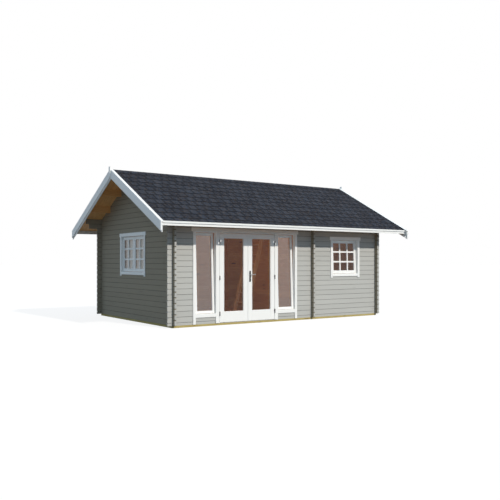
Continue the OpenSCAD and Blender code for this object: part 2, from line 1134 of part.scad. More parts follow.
module window_frames() {
  color(WHITE) {
    place_front_window()
      window_frame(front_window_w);
    place_gable_window()
      window_frame(gable_window_w);
  }
}

module front_window_sash() {
  color(WHITE)
    place_front_sash()
      tilted(sash_tilt)
        tilt_sash(front_sash_w, window_sash_h, window_sash_w, front_columns, window_rows);
}

module front_window_glass() {
  color(GLASS)
    place_front_sash()
      tilted(sash_tilt)
        pane(front_sash_w, window_sash_h, window_sash_w);
}

module gable_sash(side) {
  color(WHITE)
    place_gable_sash(side)
      swing_sash(
        gable_sash_w, window_sash_h, -side, window_sash_w, gable_columns, window_rows
      );
}

module gable_glass(side) {
  color(GLASS)
    place_gable_sash(side)
      pane(gable_sash_w, window_sash_h, window_sash_w);
}

module gable_sash_front() {
  gable_sash(-1);
}

module gable_glass_front() {
  gable_glass(-1);
}

module gable_sash_rear() {
  gable_sash(1);
}

module gable_glass_rear() {
  gable_glass(1);
}

// The pivots of all sashes, fixed in their frames
module sash_pivots() {
  color(STEEL) {
    for (side = [-1, 1]) {
      place_sidelight(side)
        tilt_pivots(sidelight_sash_w, pivot_r, pivot_l, sash_gap);
      place_gable_sash(side)
        swing_pivots(gable_sash_w, window_sash_h, -side, pivot_r, pivot_l, sash_gap);
    }
    place_front_sash()
      tilt_pivots(front_sash_w, pivot_r, pivot_l, sash_gap);
  }
}

// White boards round a window: the side boards run a little below the sill board
module trim_boards(w) {
  outer = w / 2 + trim_w;
  head_low = window_frame_h - window_head;
  sill_low = -sill_trim_h / 2;
  side_low = sill_low - window_trim_drop;
  translate([0, -trim_t / 2, 0])
    along_y(trim_t)
      union() {
        area([-outer - head_trim_over, head_low], [outer + head_trim_over, head_low + head_trim_h]);
        area([-w / 2, sill_low], [w / 2, sill_low + sill_trim_h]);
        for (side = [-1, 1])
          mirror([side < 0 ? 1 : 0, 0])
            area([w / 2, side_low], [outer, head_low]);
      }
}

module window_trim() {
  color(WHITE) {
    place_front_window()
      trim_boards(front_window_w);
    place_gable_window()
      trim_boards(gable_window_w);
  }
}

// Stands a drawing of the ladder on the floor of the main room, leaning on the partition
module place_ladder() {
  foot_x = partition_x - seat_gap - ladder_l * sin(ladder_lean);
  translate([foot_x, ladder_y, floor_z + seat_gap])
    rotate([0, ladder_lean, 0])
      children();
}

module ladder_rails() {
  color(PINE)
    place_ladder()
      for (y = [0, ladder_w - ladder_rail_t])
        box([-ladder_rail_d, y, 0], [0, y + ladder_rail_t, ladder_l]);
}

module ladder_rungs() {
  color(PINE)
    place_ladder()
      for (k = [1 : ladder_rungs_n])
        translate([-ladder_rail_d / 2, ladder_rail_t, k * rung_step])
          rotate([-90, 0, 0])
            cylinder(r = rung_r, h = ladder_w - 2 * ladder_rail_t, $fn = 32);
}

foundation_long_beams();
foundation_cross_beams();
floor();
front_wall_left();
front_wall_right();
front_wall_header();
sidelight_sill_logs();
rear_wall();
gable_wall_left();
gable_wall_right();
partition_front();
partition_rear();
partition_header();
ridge_purlin();
side_purlins();
roof_boards_front();
roof_boards_rear();
shingles_front();
shingles_rear();
fascia_front();
fascia_rear();
barge_left_front();
barge_left_rear();
barge_right_front();
barge_right_rear();
apex_boards();
entrance_head();
door_posts();
door_threshold();
entrance_trim();
sidelight_frames();
left_sidelight_sash();
left_sidelight_glass();
right_sidelight_sash();
right_sidelight_glass();
left_door();
left_door_glass();
right_door();
right_door_glass();
frame_hinges();
left_door_hinges();
right_door_hinges();
lock_plates();
door_lever();
window_frames();
window_trim();
front_window_sash();
front_window_glass();
gable_sash_front();
gable_glass_front();
gable_sash_rear();
gable_glass_rear();
sash_pivots();
ladder_rails();
ladder_rungs();
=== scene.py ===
"""Looks of the log cabin: boards, shingles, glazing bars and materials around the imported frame."""

import math
import random

import bmesh
import bpy
from mathutils import Matrix, Vector


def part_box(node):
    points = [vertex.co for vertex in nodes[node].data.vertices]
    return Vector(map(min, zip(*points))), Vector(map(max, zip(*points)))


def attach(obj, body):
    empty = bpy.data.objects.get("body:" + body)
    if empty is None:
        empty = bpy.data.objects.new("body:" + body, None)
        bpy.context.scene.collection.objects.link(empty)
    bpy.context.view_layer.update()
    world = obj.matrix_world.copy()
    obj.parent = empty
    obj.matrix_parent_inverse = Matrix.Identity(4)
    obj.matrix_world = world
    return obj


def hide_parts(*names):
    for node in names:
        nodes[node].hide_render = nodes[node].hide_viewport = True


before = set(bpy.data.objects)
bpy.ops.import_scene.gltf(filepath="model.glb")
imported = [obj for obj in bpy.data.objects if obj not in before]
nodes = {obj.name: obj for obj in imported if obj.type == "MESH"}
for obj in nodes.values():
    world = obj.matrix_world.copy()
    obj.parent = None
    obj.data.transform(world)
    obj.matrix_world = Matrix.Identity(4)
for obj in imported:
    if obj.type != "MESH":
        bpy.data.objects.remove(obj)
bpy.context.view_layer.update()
random.seed(7)

# ---------------------------------------------------------------- sizes, in metres
# Walls, from the outer faces of the foundation beams
HALF_L, HALF_W, FOUNDATION_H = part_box("foundation_long_beams")[1]
FRONT_Y = -HALF_W
LOG_H = 0.114

# Roof: heights across the slope are turned into plumb heights by RISE
PITCH = math.radians(27.3)
SLOPE = math.tan(PITCH)
RISE = 1 / math.cos(PITCH)
UNDER_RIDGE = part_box("ridge_purlin")[1].z
ROOF_BOARD_T = 0.018
ROOF_T = 0.026
ROOF_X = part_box("shingles_front")[1].x
FASCIA_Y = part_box("shingles_rear")[1].y
FASCIA_T = 0.017
BOARD_FAR = FASCIA_Y - 2 * FASCIA_T
BARGE_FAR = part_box("barge_left_rear")[1].y

# Shingles, measured down the slope
ROW_STEP = 0.236
ROW_EDGE = FASCIA_Y / math.cos(PITCH) - 0.168
TAB_W = 0.1873
TAB_START = -ROOF_X - 0.21 * TAB_W
SLOT = 0.012
TAB_T = 0.0030
LEAST_TAB = 0.015

# How far a tab's lower edge stands off at least, how much more it may, and how ragged it is
TAB_GAP = 0.0008
TAB_LIFT = 0.0008
RAGGED = 0.003

# How far a tab is tucked in, the lap reaches up, and the lap stops short of the tabs
TUCK = 0.001
HEADLAP = 0.06
LAP_SHORT = 0.004

# Frames, sashes, glass and trim of the entrance and the windows
FRAME_D = 0.070
JAMB = 0.040
TRIM_T = 0.018
TRIM_W = 0.063
HEAD_TRIM_H = 0.080
HEAD_TRIM_OVER = 0.034
SASH_T = 0.040
SASH_W = 0.045
WINDOW_SASH_W = 0.060
SASH_GAP = 0.005
GLASS_T = 0.006
BEAD = 0.009
BEAD_INSET = 0.006
TILT = math.radians(2)

# Rounded edges of boards and frames, and finer ones of sashes, door leaves and barge boards
BEVEL = 0.003
FINE_BEVEL = 0.002


def srgb(r, g, b):
    """Linear colour of an sRGB colour given from 0 to 255."""
    values = []
    for c in (r / 255, g / 255, b / 255):
        values.append(c / 12.92 if c <= 0.04045 else ((c + 0.055) / 1.055) ** 2.4)
    return (*values, 1.0)


# ---------------------------------------------------------------- materials
class Shader:
    """A material, or the world, under construction. Each call adds a node and gives back an
    output socket."""

    def __init__(self, name, kind="materials"):
        self.material = getattr(bpy.data, kind).new(name)
        self.material.use_nodes = True
        self.tree = self.material.node_tree
        self.tree.nodes.clear()

    def add(self, kind, inputs=None, out=0, **settings):
        node = self.tree.nodes.new("ShaderNode" + kind)
        for key, value in settings.items():
            setattr(node, key, value)
        for key, value in (inputs or {}).items():
            if isinstance(value, bpy.types.NodeSocket):
                self.tree.links.new(value, node.inputs[key])
            else:
                node.inputs[key].default_value = value
        return node.outputs[out] if node.outputs else None

    def math(self, operation, a, b=0.0, c=0.5):
        return self.add("Math", {0: a, 1: b, 2: c}, operation=operation)

    def mix(self, factor, a, b):
        return self.add("Mix", {0: factor, 6: a, 7: b}, out=2, data_type="RGBA")

    def noise(self, vector, scale=1.0, detail=2.0, roughness=0.5, distortion=0.0):
        inputs = {
            "Vector": vector,
            "Scale": scale,
            "Detail": detail,
            "Roughness": roughness,
            "Distortion": distortion,
        }
        return self.add("TexNoise", inputs)

    def step(self, value, low, high):
        """0 below low, 1 above high, smooth between; high may be the lower one."""
        inputs = {"Value": value, "From Min": low, "From Max": high}
        return self.add("MapRange", inputs, interpolation_type="SMOOTHSTEP")

    def scaled(self, vector, scale):
        return self.add("Mapping", {"Vector": vector, "Scale": scale})

    def shade(self, colour, factor):
        """Multiplies a colour by a number that varies over the surface."""
        if not isinstance(colour, bpy.types.NodeSocket):
            colour = colour[:3]
        return self.add("VectorMath", {0: colour, 3: factor}, operation="SCALE")

    def place(self, axis=None):
        """The object coordinates, or one of them."""
        place = self.add("TexCoord", out="Object")
        return self.add("SeparateXYZ", {0: place}, out=axis) if axis else place

    def pale_rays(self):
        """1 for the rays that show the pale surroundings: camera, glossy and transmission."""
        path = self.add("LightPath").node.outputs
        seen = self.math("MAXIMUM", path["Is Camera Ray"], path["Is Transmission Ray"])
        return self.math("MAXIMUM", seen, path["Is Glossy Ray"])

    def bump(self, height, distance):
        return self.add("Bump", {"Height": height, "Distance": distance, "Strength": 1.0})

    def surface(self, **inputs):
        """Ends the material with one Principled shader; names use _ for a space."""
        named = {key.replace("_", " "): value for key, value in inputs.items()}
        shader = self.add("BsdfPrincipled", named)
        self.add("OutputMaterial", {"Surface": shader})
        return self.material


TURNS = {"front": -PITCH, "rear": PITCH}
GRAIN_AXIS = {"x": 0, "y": 1, "z": 2, "front": 1, "rear": 1}
OUTER_SKIN = 0.03


def grain_scale(along, length, across):
    """Texture scale along the grain and across it."""
    scale = [across] * 3
    scale[GRAIN_AXIS[along]] = length
    return scale


def wood_space(s, along, seed):
    """Object coordinates, turned so that the grain lies along an axis and moved by the seed."""
    place = s.place()
    if along in TURNS:
        turn = {"Vector": place, "Angle": TURNS[along]}
        place = s.add("VectorRotate", turn, rotation_type="X_AXIS")
    shift = s.add("VectorMath", {0: (31.7, 17.3, 23.9), 3: seed}, operation="SCALE")
    return s.add("VectorMath", {0: place, 1: shift}, operation="ADD")


def wood_pattern(s, place, along):
    """Growth rings, fibres and knots of a sawn board, each from 0 to 1."""
    spots = s.scaled(place, grain_scale(along, 1.3, 6.0))
    distance = s.add("TexVoronoi", {"Vector": spots, "Scale": 1.0, "Randomness": 1.0})
    knots = s.step(distance, 0.13, 0.07)
    broad = s.noise(s.scaled(place, grain_scale(along, 0.5, 7.0)), distortion=0.4)
    swirl = s.math("DIVIDE", 0.06, s.math("ADD", distance, 0.12))
    lines = s.math("MULTIPLY", s.math("ADD", broad, swirl), 75.0)
    rings = s.math("MULTIPLY_ADD", s.math("SINE", lines), 0.5, 0.5)
    fibres = s.noise(s.scaled(place, grain_scale(along, 4.0, 260.0)), detail=3.0)
    return rings, fibres, knots


def island_seed(s):
    """A random number for each board of a mesh."""
    return s.add("NewGeometry", out="Random Per Island")


def course_seed(s, low):
    """A random number for each log of a wall whose first joint lies at the height low,
    and the painted shade in the joints between the logs, from 0 to 1."""
    course = s.math("DIVIDE", s.math("SUBTRACT", s.place("Z"), low), LOG_H)
    seed = s.add("TexWhiteNoise", {"W": s.math("FLOOR", course)}, noise_dimensions="1D")
    away = s.math("PINGPONG", course, 0.5)
    return seed, s.step(away, 0.046, 0.030)


def pine_colour(s, rings, fibres, knots, seed, amber_share=1.0):
    """Pine from pale (amber_share 0) to amber (amber_share 1), with rings, fibres and knots."""
    base = s.mix(seed, srgb(236, 184, 116), srgb(222, 164, 97))
    base = s.mix(amber_share, srgb(246, 222, 178), base)
    ringed = s.mix(s.math("MULTIPLY", rings, 0.45), base, srgb(192, 124, 64))
    fibred = s.mix(s.math("MULTIPLY", fibres, 0.3), ringed, srgb(242, 204, 146))
    return s.mix(s.math("MULTIPLY", knots, 0.85), fibred, srgb(96, 52, 26))


def pine(name, along, amber_share=1.0):
    """Bare planed pine."""
    s = Shader(name)
    seed = island_seed(s)
    rings, fibres, knots = wood_pattern(s, wood_space(s, along, seed), along)
    colour = pine_colour(s, rings, fibres, knots, seed, amber_share)
    relief = s.math("ADD", s.math("MULTIPLY", rings, 0.4), fibres)
    roughness = s.step(fibres, 0.2, 1.6)
    return s.surface(
        Base_Color=colour,
        Roughness=s.math("MULTIPLY_ADD", roughness, 0.25, 0.5),
        Normal=s.bump(relief, 0.0006),
    )


def painted_relief(s, rings, fibres, knots):
    """The wood's relief as it shows through paint, with the raised rim of the knots."""
    relief = s.math("ADD", s.math("MULTIPLY", rings, 0.5), s.math("MULTIPLY", fibres, 0.7))
    return s.math("ADD", relief, s.math("MULTIPLY", knots, 0.6))


def paint(name, along, colour, roughness=0.42):
    """Opaque paint on a planed board: the grain shows as relief and a trace of tone."""
    s = Shader(name)
    seed = island_seed(s)
    place = wood_space(s, along, seed)
    rings, fibres, knots = wood_pattern(s, place, along)
    cloud = s.noise(place, scale=2.2, detail=3.0)
    tone = s.math("MULTIPLY_ADD", cloud, 0.05, 0.965)
    tone = s.math("SUBTRACT", tone, s.math("MULTIPLY", fibres, 0.02))
    tone = s.math("SUBTRACT", tone, s.math("MULTIPLY", knots, 0.035))
    sheen = s.math("MULTIPLY_ADD", fibres, 0.14, roughness - 0.05)
    return s.surface(
        Base_Color=s.shade(colour, tone),
        Roughness=sheen,
        Normal=s.bump(painted_relief(s, rings, fibres, knots), 0.0004),
    )


def log_wall(name, along, low, paint_colour, end_colour):
    """Grey paint outside and bare pine inside, with a tone of its own for every log."""
    s = Shader(name)
    seed, joint = course_seed(s, low)
    place = wood_space(s, along, seed)
    rings, fibres, knots = wood_pattern(s, place, along)
    real = s.place()
    cloud = s.noise(s.scaled(real, grain_scale(along, 0.8, 5.0)), detail=4.0)
    tone = s.math("MULTIPLY_ADD", seed, 0.055, 0.965)
    tone = s.math("ADD", tone, s.math("MULTIPLY", s.math("SUBTRACT", cloud, 0.5), 0.12))
    tone = s.math("SUBTRACT", tone, s.math("MULTIPLY", fibres, 0.05))
    tone = s.math("SUBTRACT", tone, s.math("MULTIPLY", knots, 0.10))
    # Painted shade darkens each log towards the joints
    tone = s.math("MULTIPLY", tone, s.math("MULTIPLY_ADD", joint, -0.62, 1.0))
    warm = pine_colour(s, rings, fibres, knots, seed)

    # Inside means clear of the outer faces of all four walls
    axes = s.add("SeparateXYZ", {0: real}).node.outputs
    in_x = s.math("LESS_THAN", s.math("ABSOLUTE", axes[0]), HALF_L - OUTER_SKIN)
    in_y = s.math("LESS_THAN", s.math("ABSOLUTE", axes[1]), HALF_W - OUTER_SKIN)
    inside = s.math("MULTIPLY", in_x, in_y)

    # The sawn ends of the logs show growth rings round a heart that lies off the log
    normal = s.add("SeparateXYZ", {0: s.add("NewGeometry", out="Normal")}).node.outputs
    on_end = s.math("GREATER_THAN", s.math("ABSOLUTE", normal[GRAIN_AXIS[along]]), 0.8)
    heart = s.add("VectorMath", {0: place, 1: (0.3, 0.3, 0.2)}, operation="FRACTION")
    reach = s.add("VectorMath", {0: heart}, out="Value", operation="LENGTH")
    wobble = s.noise(place, scale=9.0)
    growth = s.math("ADD", s.math("MULTIPLY", reach, 900.0), s.math("MULTIPLY", wobble, 14.0))
    end_rings = s.math("SINE", growth)
    # Faces and sawn ends take the two copies of the grey, so that each shows painted light or painted
    # shade by the way it faces
    grey = s.shade(s.mix(on_end, paint_colour, end_colour), tone)
    face = painted_relief(s, rings, fibres, knots)
    relief = s.add("Mix", {0: on_end, 2: face, 3: end_rings}, data_type="FLOAT")
    return s.surface(
        Base_Color=s.mix(inside, grey, warm),
        Roughness=s.step(fibres, -1.6, 1.4),
        Normal=s.bump(relief, 0.0007),
    )


def treated(name, along):
    """Pressure-treated sawn timber: greenish, uneven and rough."""
    s = Shader(name)
    seed = island_seed(s)
    place = wood_space(s, along, seed)
    rings, fibres, knots = wood_pattern(s, place, along)
    cloud = s.noise(place, scale=3.0, detail=4.0)
    base = s.mix(cloud, srgb(196, 178, 116), srgb(168, 152, 92))
    ringed = s.mix(s.math("MULTIPLY", rings, 0.4), base, srgb(146, 122, 70))
    colour = s.mix(s.math("MULTIPLY", knots, 0.7), ringed, srgb(92, 72, 42))
    saw = s.noise(s.scaled(place, grain_scale(along, 220.0, 24.0)), detail=2.0)
    return s.surface(
        Base_Color=colour,
        Roughness=s.step(fibres, -1.9, 1.1),
        Normal=s.bump(s.math("ADD", fibres, saw), 0.0010),
    )


def shingle(name, edge, step, tab, start):
    """Bitumen shingle covered in crushed slate, each tab with a tone of its own. The first
    row ends at edge, measured down the slope from the ridge, and the others a step apart.
    Tabs are that wide, and start is where the first one of the lowest row begins."""
    s = Shader(name)
    seed = island_seed(s)
    place = s.place()
    grains = s.add("TexVoronoi", {"Vector": place, "Scale": 700.0}, out="Color")
    speck = s.add("SeparateXYZ", {0: grains}).node.outputs
    blends = s.noise(place, scale=30.0, detail=3.0)
    base = s.mix(seed, srgb(31, 38, 50), srgb(54, 61, 73))
    mottled = s.mix(s.step(blends, 0.45, 0.68), base, srgb(70, 60, 54))
    light = s.mix(s.step(speck[0], 0.86, 0.97), mottled, srgb(104, 108, 116))
    colour = s.mix(s.step(speck[1], 0.22, 0.08), light, srgb(12, 15, 21))

    # Painted shade, with some dust, darkens the strip just below the edge of each row
    down = s.math("DIVIDE", s.math("ABSOLUTE", s.place("Y")), math.cos(PITCH))
    row = s.math("DIVIDE", s.math("SUBTRACT", down, edge), step)
    under = s.step(s.math("FRACT", row), 0.19, 0.07)
    under = s.math("MULTIPLY_ADD", under, -0.66, 1.0)

    # The same painted shade and dust beside the slots, which lie half a tab further along in every
    # other row
    odd = s.math("PINGPONG", s.math("FLOOR", row), 1.0)
    x = s.math("SUBTRACT", s.place("X"), start)
    phase = s.math("MULTIPLY_ADD", odd, 0.5, s.math("DIVIDE", x, tab))
    beside = s.step(s.math("PINGPONG", s.math("ADD", phase, 0.035), 0.5), 0.17, 0.05)
    beside = s.math("MULTIPLY_ADD", beside, -0.38, 1.0)
    height = s.add("TexVoronoi", {"Vector": place, "Scale": 700.0})
    return s.surface(
        Base_Color=s.shade(colour, s.math("MULTIPLY", under, beside)),
        Roughness=s.step(speck[2], -3.2, 1.1),
        Specular_IOR_Level=0.08,
        Normal=s.bump(height, 0.0012),
    )


def slot_shade_bitumen(name):
    """The bitumen under the tabs, which shows in the slots between them; its near-black colour is part
    bitumen and part painted shade of the slots.
    """
    s = Shader(name)
    place = s.place()
    lumps = s.noise(place, scale=160.0, detail=3.0)
    return s.surface(
        Base_Color=s.mix(lumps, srgb(9, 11, 15), srgb(24, 26, 32)),
        Roughness=s.step(lumps, -1.2, 1.4),
        Specular_IOR_Level=0.1,
        Normal=s.bump(lumps, 0.0008),
    )


KNUCKLE_REACH = 0.0095


def metal(name, colour, roughness, fleck, brushed=(1.0, 1.0, 1.0), plates=None):
    """Bare metal with fine marks and a slightly uneven polish. Where plates gives a colour and
    the two hinge lines, what lies more than a knuckle away from them has that colour."""
    s = Shader(name)
    place = s.place()
    marks = s.noise(s.scaled(place, brushed), scale=420.0, detail=3.0)
    cloud = s.noise(place, scale=30.0, detail=3.0)
    tone = s.math("MULTIPLY_ADD", cloud, fleck, 1.0 - fleck / 2)
    polish = s.math("MULTIPLY_ADD", marks, 0.2, roughness - 0.1)
    if plates:
        plate_colour, left, right = plates
        from_middle = s.math("ABSOLUTE", s.math("SUBTRACT", s.place("X"), (left + right) / 2))
        from_line = s.math("ABSOLUTE", s.math("SUBTRACT", from_middle, (right - left) / 2))
        plate = s.math("GREATER_THAN", from_line, KNUCKLE_REACH)
        colour = s.mix(plate, colour, plate_colour)
    return s.surface(
        Base_Color=s.shade(colour, tone),
        Metallic=1.0,
        Roughness=polish,
        Normal=s.bump(marks, 0.00006),
    )


def powder_coat(name, colour):
    """Metal under a coat with a fine orange peel."""
    s = Shader(name)
    place = s.place()
    peel = s.noise(place, scale=1400.0, detail=2.0)
    cloud = s.noise(place, scale=60.0)
    polish = s.math("MULTIPLY_ADD", cloud, 0.15, 0.36)
    tone = s.math("MULTIPLY_ADD", peel, 0.5, 0.75)
    return s.surface(
        Base_Color=s.shade(colour, tone), Roughness=polish, Normal=s.bump(peel, 0.0001)
    )


def window_glass(name, sheen):
    """Clear glass. Sheen is the share of light that a face mirrors when seen squarely. Light
    passes it unbent, so that the rooms behind it are lit."""
    s = Shader(name)
    place = s.place()
    wave = s.bump(s.noise(place, scale=1.6, detail=1.0), 0.0004)
    film = s.noise(place, scale=5.0, detail=3.0)
    facing = s.add("LayerWeight", {"Blend": 0.5, "Normal": wave}, out="Facing")
    mirror = s.math("MULTIPLY_ADD", s.math("POWER", facing, 5.0), 0.945, sheen)
    tint = s.mix(film, (0.95, 0.93, 0.90, 1.0), (0.91, 0.90, 0.87, 1.0))
    clear = s.add("BsdfTransparent", {"Color": tint})
    shine = s.add("BsdfAnisotropic", {"Roughness": s.step(film, 0.5, 30.0), "Normal": wave})
    shader = s.add("MixShader", {0: mirror, 1: clear, 2: shine})
    s.add("OutputMaterial", {"Surface": shader})
    return s.material


WHITE = {a: paint("white_paint_" + a, a, srgb(243, 243, 240)) for a in GRAIN_AXIS}
PINE = {a: pine("pine_" + a, a) for a in GRAIN_AXIS}
# One grey paint in a sunlit copy and a darker copy that holds painted shade: the front wall and the
# log ends of the cross walls take the sunlit copy, the rear wall, the cross walls and the log ends of
# the front wall the painted shade
SUNLIT_GREY = srgb(184, 184, 179)
SHADED_GREY = srgb(145, 137, 120)
LONG_WALL = log_wall("log_paint_long_sunlit", "x", FOUNDATION_H + LOG_H / 2, SUNLIT_GREY, SHADED_GREY)
REAR_WALL = log_wall("log_paint_rear_shaded", "x", FOUNDATION_H + LOG_H / 2, SHADED_GREY, SHADED_GREY)
CROSS_WALL = log_wall("log_paint_cross_shaded", "y", FOUNDATION_H, SHADED_GREY, SUNLIT_GREY)
TREATED = {a: treated("treated_" + a, a) for a in "xy"}
SHINGLES = {
    "tab": shingle("shingle", ROW_EDGE, ROW_STEP, TAB_W, TAB_START),
    "lap": slot_shade_bitumen("slot_shade_bitumen"),
}
# One clear glass in three copies: the sidelight copy mirrors far more than plain glass, a painted
# reflection that lightens it, and the door copy mirrors less
GLASS = window_glass("clear_glass", 0.04)
SIDE_GLASS = window_glass("sidelight_glass", 0.13)
DOOR_GLASS = window_glass("door_glass", 0.024)
HINGE = metal("hinge_steel", srgb(132, 134, 138), 0.42, 0.3)
HALF_DOOR_GAP = 0.003
HINGE_LINES = (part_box("left_door")[0].x - HALF_DOOR_GAP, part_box("right_door")[1].x + HALF_DOOR_GAP)
DOOR_HINGE = metal("door_hinge_steel", srgb(78, 80, 84), 0.42, 0.1,
                   plates=(srgb(238, 238, 236), *HINGE_LINES))
LEVER = metal("lever_aluminium", srgb(176, 178, 182), 0.34, 0.12, (0.2, 1.0, 1.0))
LOCK = powder_coat("lock_black", srgb(30, 30, 32))


# ---------------------------------------------------------------- meshes
def offset(profile, by):
    """A convex, anticlockwise outline moved inwards."""
    result = []
    count = len(profile)
    for i in range(count):
        before, here, after = (Vector(profile[(i + k) % count]) for k in (-1, 0, 1))
        a, b = (here - before).normalized(), (after - here).normalized()
        na, nb = Vector((-a.y, a.x)), Vector((-b.y, b.x))
        result.append(here + (na + nb) * (by / (1 + na.dot(nb))))
    return result


def cut_corners(profile, by):
    """An outline with two points in place of each corner."""
    result = []
    count = len(profile)
    for i in range(count):
        before, here, after = (Vector(profile[(i + k) % count]) for k in (-1, 0, 1))
        result.append(here + (before - here).normalized() * by)
        result.append(here + (after - here).normalized() * by)
    return result


def area2(profile):
    """Twice the area of an outline, negative where it runs clockwise."""
    return sum(
        a[0] * b[1] - b[0] * a[1] for a, b in zip(profile, [*profile[1:], profile[0]])
    )


class Part:
    """A mesh made of convex solids. Each solid is an island with a grain direction."""

    def __init__(self):
        self.points, self.faces, self.grains = [], [], []

    def loft(self, rings, grain):
        """A closed solid through rings that have the same number of points."""
        start, count = len(self.points), len(rings[0])
        for ring in rings:
            self.points.extend(ring)
        for r in range(len(rings) - 1):
            low = start + r * count
            for i in range(count):
                j = (i + 1) % count
                self.faces.append((low + i, low + j, low + count + j, low + count + i))
        last = start + (len(rings) - 1) * count
        self.faces.append(tuple(range(start + count - 1, start - 1, -1)))
        self.faces.append(tuple(range(last, last + count)))
        self.grains.extend([grain] * (count * (len(rings) - 1) + 2))

    def prism(self, profile, axis, low, high, grain, bevel=0.0015):
        """A convex outline drawn across the axis, in the order of the other two axes."""
        if area2(profile) < 0:
            profile = profile[::-1]
        ends = cut_corners(offset(profile, bevel), bevel * 0.5)
        body = cut_corners(profile, bevel)
        levels = ((low, ends), (low + bevel, body), (high - bevel, body), (high, ends))
        rings = []
        for level, outline in levels:
            ring = [list(p) for p in outline]
            for p in ring:
                p.insert(axis, level)
            rings.append(ring)
        self.loft(rings, grain)

    def board(self, low, high, bevel=0.0015, grain=None):
        """A straight board between two corners, with its grain along its longest side."""
        size = [b - a for a, b in zip(low, high)]
        axis = max(range(3), key=lambda k: size[k])
        u, v = [k for k in range(3) if k != axis]
        bevel = min(bevel, 0.3 * min(size))
        profile = [(low[u], low[v]), (high[u], low[v]), (high[u], high[v]), (low[u], high[v])]
        self.prism(profile, axis, low[axis], high[axis], grain or "xyz"[axis], bevel)

    def build(self, name, body, slot, materials, replaces=(), matrix=None, grains=None):
        """Makes the piece. The grains renamed here are those of a part that the matrix turns."""
        mesh = bpy.data.meshes.new(name)
        mesh.from_pydata([tuple(p) for p in self.points], [], self.faces)
        used = sorted(set(self.grains))
        for grain, face in zip(self.grains, mesh.polygons):
            face.material_index = used.index(grain)
        for grain in used:
            mesh.materials.append(materials[(grains or {}).get(grain, grain)])
        if matrix is not None:
            mesh.transform(matrix)
        shape = bmesh.new()
        shape.from_mesh(mesh)
        bmesh.ops.recalc_face_normals(shape, faces=shape.faces)
        shape.to_mesh(mesh)
        shape.free()
        piece = bpy.data.objects.new(name, mesh)
        bpy.context.scene.collection.objects.link(piece)
        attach(piece, body)
        if replaces:
            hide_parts(*replaces)
        return piece


def white(part, name, body="cabin", replaces=(), **more):
    """Builds a part as a piece painted white."""
    return part.build(name, body, "white_paint", WHITE, replaces, **more)


def mirrored(middle, side, near, far):
    """Two distances from a middle, taken to one side, as a low and a high value."""
    return sorted((middle + side * near, middle + side * far))


def circle(x, y, radius, count):
    """A regular outline round a point."""
    turns = [2 * math.pi * k / count for k in range(count)]
    return [(x + radius * math.cos(a), y + radius * math.sin(a)) for a in turns]


def finish_node(name, material):
    """Gives a CAD node its material."""
    mesh = nodes[name].data
    mesh.materials.clear()
    mesh.materials.append(material)


# ---------------------------------------------------------------- CAD nodes that stay
for name in ("front_wall_left", "front_wall_right", "front_wall_header",
             "sidelight_sill_logs"):
    finish_node(name, LONG_WALL)
finish_node("rear_wall", REAR_WALL)
for name in ("gable_wall_left", "gable_wall_right",
             "partition_front", "partition_rear", "partition_header"):
    finish_node(name, CROSS_WALL)
finish_node("foundation_long_beams", TREATED["x"])
finish_node("foundation_cross_beams", TREATED["y"])
finish_node("ridge_purlin", PINE["x"])
finish_node("side_purlins", PINE["x"])
# The ladder takes a paler copy of the pine, painted light for the daylight that falls on it near the
# door
finish_node("ladder_rungs", pine("ladder_pine_y", "y", 0.0))
finish_node("ladder_rails", pine("ladder_pine_z", "z", 0.0))
finish_node("door_threshold", LEVER)
finish_node("door_lever", LEVER)
finish_node("lock_plates", LOCK)
for name in ("frame_hinges", "left_door_hinges", "right_door_hinges"):
    finish_node(name, DOOR_HINGE)
finish_node("sash_pivots", HINGE)
for name in ("left_door_glass", "right_door_glass"):
    finish_node(name, DOOR_GLASS)
for name in ("left_sidelight_glass", "right_sidelight_glass"):
    finish_node(name, SIDE_GLASS)
for name in ("front_window_glass", "gable_glass_front", "gable_glass_rear"):
    finish_node(name, GLASS)


# ---------------------------------------------------------------- roof
def slope_outline(side, near, far, low, high):
    """A layer of one slope with plumb ends, between two heights across the slope."""
    corners = ((near, low), (far, low), (far, high), (near, high))
    return [(side * y, UNDER_RIDGE + n * RISE - y * SLOPE) for y, n in corners]


def shingle_sheet(x0, x1, side, near, far, low_near, low_far):
    """The two end outlines of a sheet of shingle, whose underside may be higher at one end."""
    corners = ((near, low_near), (far, low_far), (far, low_far + TAB_T), (near, low_near + TAB_T))
    outline = [(side * y, UNDER_RIDGE + n * RISE - y * SLOPE) for y, n in corners]
    return [[(x, *p) for p in outline] for x in (x0, x1)]


SIDES = {"front": -1, "rear": 1}
ROOF_BOARDS = 71
for where, side in SIDES.items():
    boards = Part()
    width = 2 * ROOF_X / ROOF_BOARDS
    outline = slope_outline(side, 0, BOARD_FAR, 0, ROOF_BOARD_T)
    for k in range(ROOF_BOARDS):
        x = -ROOF_X + k * width
        boards.prism(outline, 0, x, x + width, where, bevel=BEVEL)
    boards.build("roof_planks_" + where, "cabin", "pine", PINE, ["roof_boards_" + where])

